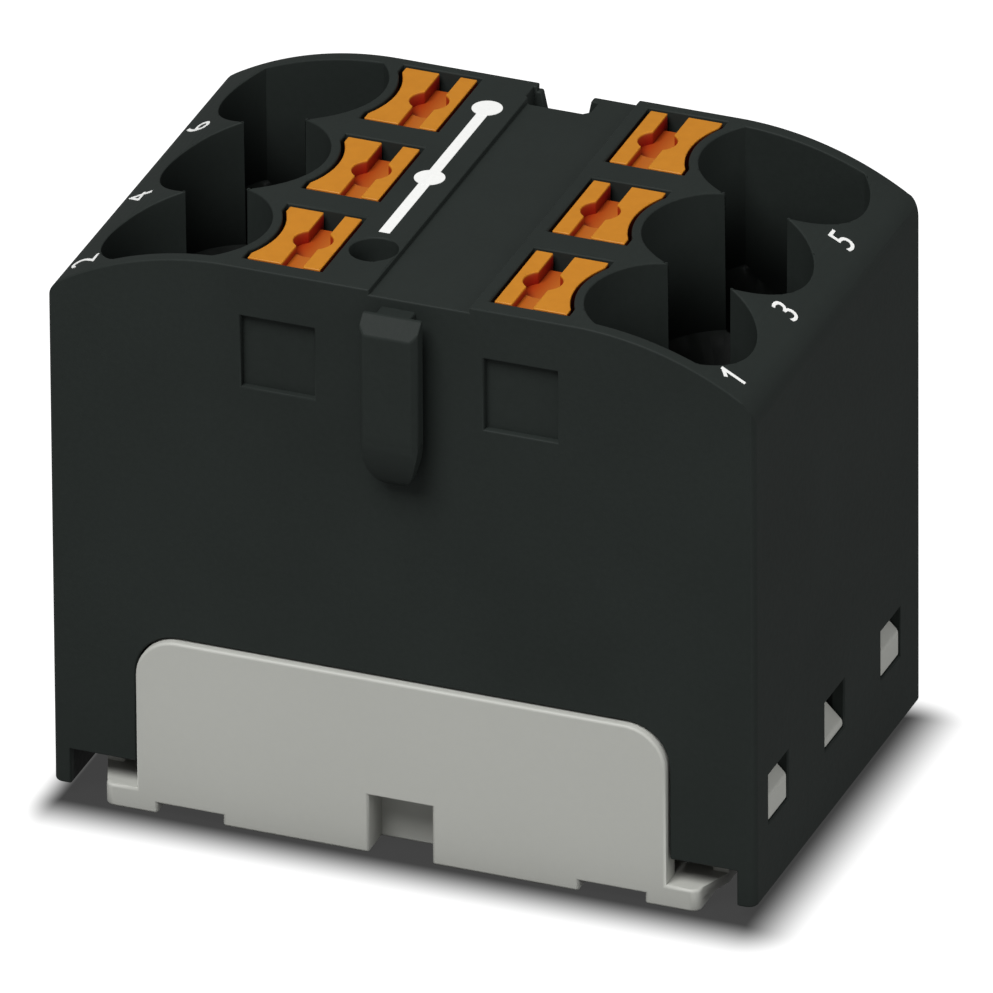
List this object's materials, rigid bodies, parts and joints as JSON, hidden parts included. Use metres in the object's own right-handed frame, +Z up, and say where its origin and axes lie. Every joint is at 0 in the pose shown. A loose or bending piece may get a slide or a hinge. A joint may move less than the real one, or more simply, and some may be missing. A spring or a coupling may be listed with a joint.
{
  "type": "power distribution block",
  "caption": "Push-in power distribution block: black housing latched onto a grey base, with round wire entries and orange release levers in two rows.",
  "frame": {"origin": "centre of the base's flat underside, midway between the two side walls and between the housing's front and back faces", "axes": "+X across the two rows of wire entries, +Y from the face with the joining rib to the back face, +Z up out of the wire entries"},
  "size_m": [0.0288, 0.0195, 0.0243],
  "materials": {
    "housing_black": "fine moulded, satin",
    "base_grey": "smooth moulded, satin",
    "lever_orange": "smooth moulded",
    "busbar_metal": "tin-plated copper alloy",
    "spring_steel": "bright spring steel strip"
  },
  "bodies": {
    "block": {"housing": "housing_black", "base": "base_grey", "busbar": "busbar_metal", "spring_1": "spring_steel", "spring_2": "spring_steel", "spring_3": "spring_steel", "spring_4": "spring_steel", "spring_5": "spring_steel", "spring_6": "spring_steel"},
    "lever_1": {"lever_1": "lever_orange"},
    "lever_2": {"lever_2": "lever_orange"},
    "lever_3": {"lever_3": "lever_orange"},
    "lever_4": {"lever_4": "lever_orange"},
    "lever_5": {"lever_5": "lever_orange"},
    "lever_6": {"lever_6": "lever_orange"}
  },
  "joints": [
    {"name": "lever_1_press", "type": "slide", "parent": "block", "child": "lever_1", "axis": [0, 0, -1], "range_m": [0, 0.0012], "stiffness_N_per_m": 1500, "springref_m": -0.0005, "deforming": ["spring_1"]},
    {"name": "lever_2_press", "type": "slide", "parent": "block", "child": "lever_2", "axis": [0, 0, -1], "range_m": [0, 0.0012], "stiffness_N_per_m": 1500, "springref_m": -0.0005, "deforming": ["spring_2"]},
    {"name": "lever_3_press", "type": "slide", "parent": "block", "child": "lever_3", "axis": [0, 0, -1], "range_m": [0, 0.0012], "stiffness_N_per_m": 1500, "springref_m": -0.0005, "deforming": ["spring_3"]},
    {"name": "lever_4_press", "type": "slide", "parent": "block", "child": "lever_4", "axis": [0, 0, -1], "range_m": [0, 0.0012], "stiffness_N_per_m": 1500, "springref_m": -0.0005, "deforming": ["spring_4"]},
    {"name": "lever_5_press", "type": "slide", "parent": "block", "child": "lever_5", "axis": [0, 0, -1], "range_m": [0, 0.0012], "stiffness_N_per_m": 1500, "springref_m": -0.0005, "deforming": ["spring_5"]},
    {"name": "lever_6_press", "type": "slide", "parent": "block", "child": "lever_6", "axis": [0, 0, -1], "range_m": [0, 0.0012], "stiffness_N_per_m": 1500, "springref_m": -0.0005, "deforming": ["spring_6"]}
  ]
}
